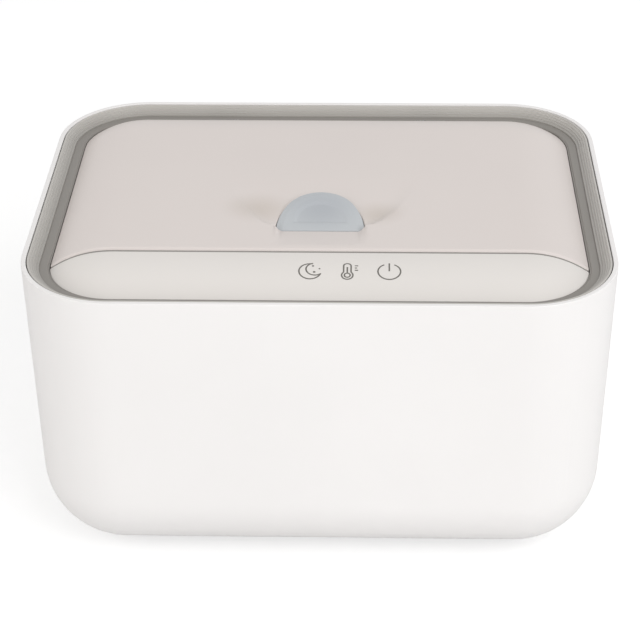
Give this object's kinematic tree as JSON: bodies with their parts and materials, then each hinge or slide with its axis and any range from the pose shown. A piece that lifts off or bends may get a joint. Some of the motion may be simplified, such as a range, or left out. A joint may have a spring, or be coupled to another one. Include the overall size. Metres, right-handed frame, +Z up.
{
  "type": "wipe warmer",
  "caption": "Desktop warmer for baby wipes: deep rounded casing with a stepped grey rim, touch panel in front, and a crowned hinged lid opened by a half-moon button.",
  "frame": {"origin": "on the surface that the feet stand on, under the middle of the casing", "axes": "+X to the right along the width, +Y from the front panel to the hinge, +Z up"},
  "size_m": [0.22, 0.168, 0.1278],
  "materials": {
    "casing_white": "satin moulded plastic",
    "ring_grey": "fine satin plastic in small terraces",
    "ledge_grey": "matte moulded plastic",
    "lid_warm_grey": "satin moulded plastic, warm grey",
    "panel_warm_grey": "satin moulded plastic, warm grey",
    "button_blue_grey": "matte moulded plastic, cool grey",
    "tub_white": "smooth polypropylene",
    "seal_silicone": "soft silicone",
    "foot_rubber": "soft rubber",
    "dark_plastic": "moulded plastic",
    "latch_plastic": "low friction moulded plastic",
    "board_green": "coated circuit board",
    "component_black": "moulded parts on a circuit board",
    "pad_foam": "conductive foam",
    "led_lens": "clear yellowish lens",
    "steel": "zinc plated steel",
    "spring_steel": "drawn spring wire",
    "spreader_aluminium": "rolled sheet",
    "film_amber": "polyimide heating film",
    "insulation_foam": "closed cell foam",
    "sensor_black": "potted sensor",
    "fuse_steel": "drawn can",
    "contact_brass": "turned pin"
  },
  "bodies": {
    "housing": {"outer_casing": "casing_white", "base_plate": "casing_white", "rubber_feet": "foot_rubber", "base_screws": "steel", "trim_ring": "ring_grey", "upper_frame": "ledge_grey", "frame_screws": "steel", "inner_tub": "tub_white", "heat_spreader": "spreader_aluminium", "heating_film": "film_amber", "insulation_pad": "insulation_foam", "temperature_sensor": "sensor_black", "thermal_fuse": "fuse_steel", "main_board": "board_green", "board_components": "component_black", "board_screws": "steel", "control_panel": "panel_warm_grey", "panel_screws": "steel", "touch_board": "board_green", "touch_pads": "pad_foam", "night_light_leds": "led_lens", "power_inlet": "dark_plastic", "inlet_contact": "contact_brass", "inlet_nut": "steel", "hinge_springs": "spring_steel"},
    "lid": {"lid_cover": "lid_warm_grey", "lid_liner": "tub_white", "lid_seal": "seal_silicone", "liner_screws": "steel", "hinge_pins": "steel", "button_springs": "spring_steel", "latch_spring": "spring_steel"},
    "button": {"open_button": "button_blue_grey"},
    "latch": {"latch_slider": "latch_plastic"}
  },
  "joints": [
    {"name": "lid_hinge", "type": "hinge", "parent": "housing", "child": "lid", "pos_m": [0, 0.07, 0.1182], "axis": [-1, 0, 0], "range_deg": [0, 90], "deforming": ["hinge_springs"]},
    {"name": "button_press", "type": "slide", "parent": "lid", "child": "button", "axis": [0, 0, -1], "range_m": [0, 0.0025], "stiffness_N_per_m": 400, "springref_m": -0.002, "deforming": ["button_springs"]},
    {"name": "latch_slide", "type": "slide", "parent": "lid", "child": "latch", "axis": [0, 1, 0], "range_m": [0, 0.0025], "deforming": ["latch_spring"]}
  ],
  "couplings": [
    {"joint": "latch_slide", "follows": "button_press", "ratio": 1}
  ]
}
